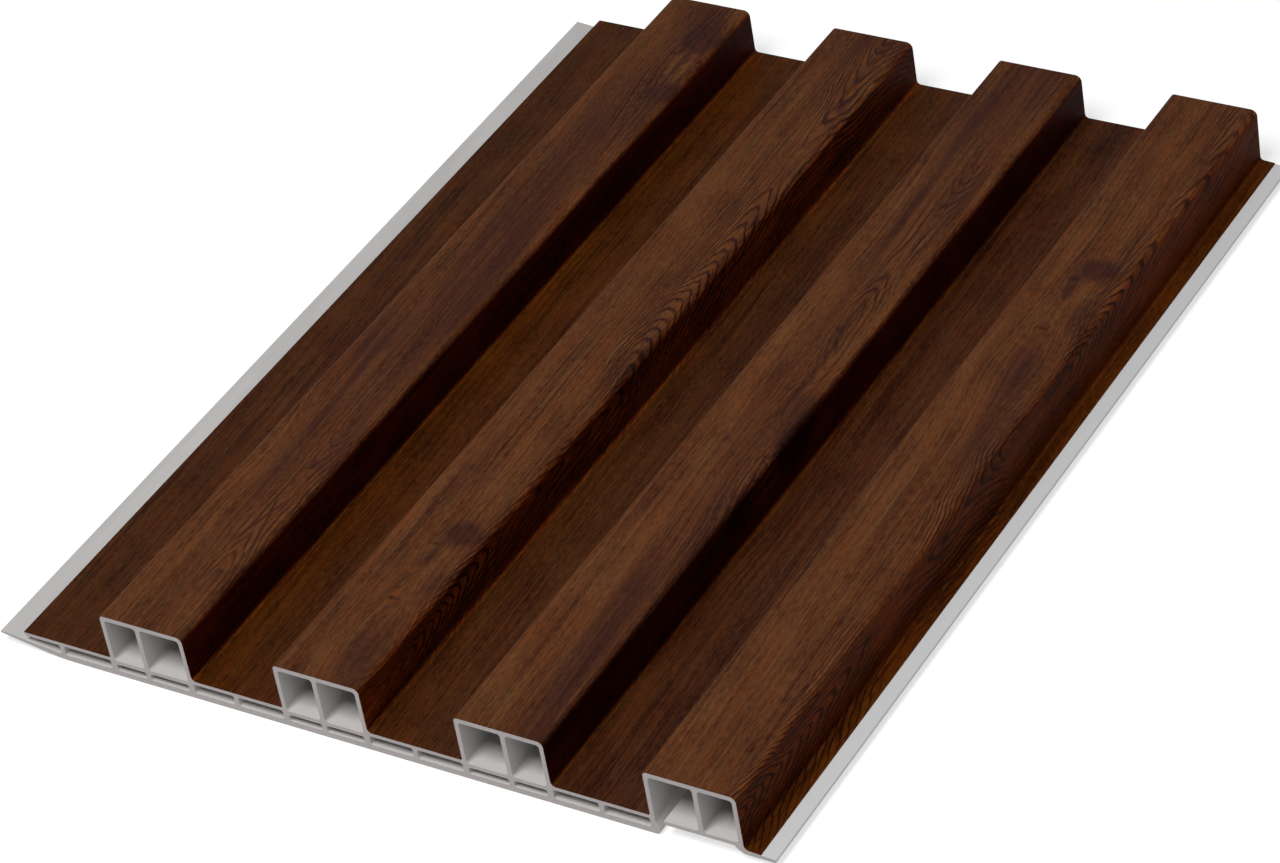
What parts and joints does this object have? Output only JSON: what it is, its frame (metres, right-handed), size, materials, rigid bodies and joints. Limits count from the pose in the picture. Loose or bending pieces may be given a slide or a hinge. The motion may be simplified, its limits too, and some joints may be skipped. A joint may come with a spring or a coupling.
{
  "type": "slatted wall panel",
  "caption": "Short length of hollow plastic wall cladding: raised box slats on a thin cellular base, dark wood-print film on its face, slot and tongue edges.",
  "frame": {"origin": "middle of the panel's width and length, on the back plane that lies on the wall", "axes": "+X across the slats, from the slot and flange edge to the tongue edge; +Y along the slats; +Z out of the wall"},
  "size_m": [0.1724, 0.22, 0.015],
  "materials": {
    "bare_plastic": "matte grey PVC, sawn at both ends",
    "wood_print": "satin dark walnut-brown wood-print film"
  },
  "bodies": {
    "root": {"hollow_profile": "bare_plastic", "printed_film": "wood_print"}
  },
  "joints": []
}
